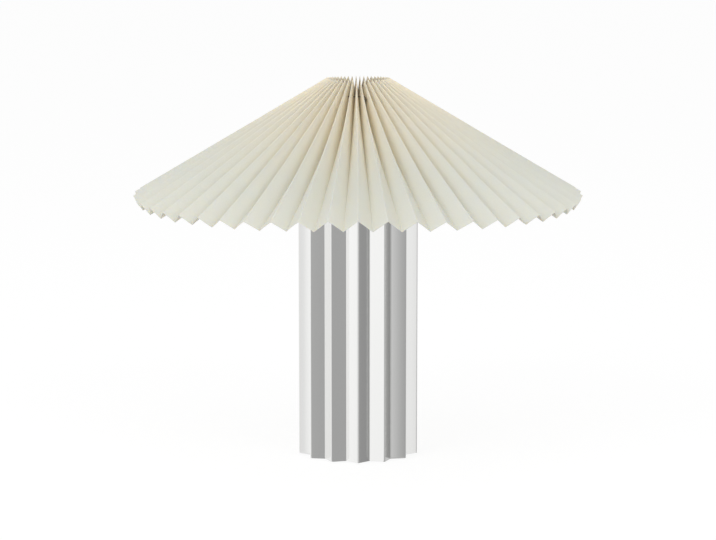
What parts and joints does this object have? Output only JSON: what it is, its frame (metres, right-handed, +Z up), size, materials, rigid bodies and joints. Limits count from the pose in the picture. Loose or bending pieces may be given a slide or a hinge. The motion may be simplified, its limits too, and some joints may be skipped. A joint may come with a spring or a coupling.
{
  "type": "pleated paper table lamp",
  "caption": "Table lamp with a wide cone of pleated ivory paper on a wire carrier, over a folded aluminium column with a weighted foot, screw lampholder and bulb.",
  "frame": {"origin": "middle of the felt foot, on the table", "axes": "+Z up along the column; -Y is the front, which an outward fold of the column and of the shade faces"},
  "size_m": [0.45, 0.4498, 0.3843],
  "materials": {
    "column_aluminium": "satin",
    "ivory_paper": "matte, fine fibre",
    "string": "twisted thread",
    "felt": "felt",
    "iron": "as cast",
    "zinc_steel": "zinc plated",
    "white_lacquer": "satin",
    "holder_plastic": "moulded",
    "porcelain": "glazed",
    "contact_brass": "stamped",
    "block_plastic": "moulded",
    "brown_lead": "extruded",
    "blue_lead": "extruded",
    "earth_lead": "extruded",
    "grommet_plastic": "moulded",
    "opal_glass": "opal",
    "nickel_cap": "rolled thread",
    "black_glass": "fused glass",
    "clear_glass": "clear",
    "phosphor": "coated",
    "fine_wire": "drawn"
  },
  "bodies": {
    "base": {"column_sleeve": "column_aluminium", "base_plate": "column_aluminium", "felt_pad": "felt", "ballast": "iron", "tie_rod": "zinc_steel", "rod_nuts": "zinc_steel", "rod_washers": "zinc_steel", "terminal_screws": "zinc_steel", "block_screws": "zinc_steel", "earth_screw": "zinc_steel", "top_cup": "white_lacquer", "carrier_hub": "white_lacquer", "carrier_wires": "white_lacquer", "carrier_ring": "white_lacquer", "holder_cap": "holder_plastic", "holder_skirt": "holder_plastic", "lower_shade_ring": "holder_plastic", "upper_shade_ring": "holder_plastic", "holder_insert": "porcelain", "holder_posts": "contact_brass", "thread_shell": "contact_brass", "centre_contact": "contact_brass", "side_contact": "contact_brass", "earth_lug": "contact_brass", "terminal_block": "block_plastic", "live_lead": "brown_lead", "neutral_lead": "blue_lead", "earth_lead": "earth_lead", "cable_grommet": "grommet_plastic"},
    "bulb": {"bulb_globe": "opal_glass", "bulb_cap": "nickel_cap", "bulb_insulator": "black_glass", "bulb_tip": "contact_brass", "filament_stem": "clear_glass", "led_filaments": "phosphor", "filament_hoops": "fine_wire"},
    "shade": {"pleated_shade": "ivory_paper", "gather_string": "string", "string_knot": "string"}
  },
  "joints": [
    {"name": "shade_lift", "type": "slide", "parent": "base", "child": "shade", "axis": [0, 0, 1], "range_m": [0, 0.15]},
    {"name": "bulb_unscrew", "type": "slide", "parent": "base", "child": "bulb", "axis": [0, 0, 1], "range_m": [0, 0.024]}
  ]
}
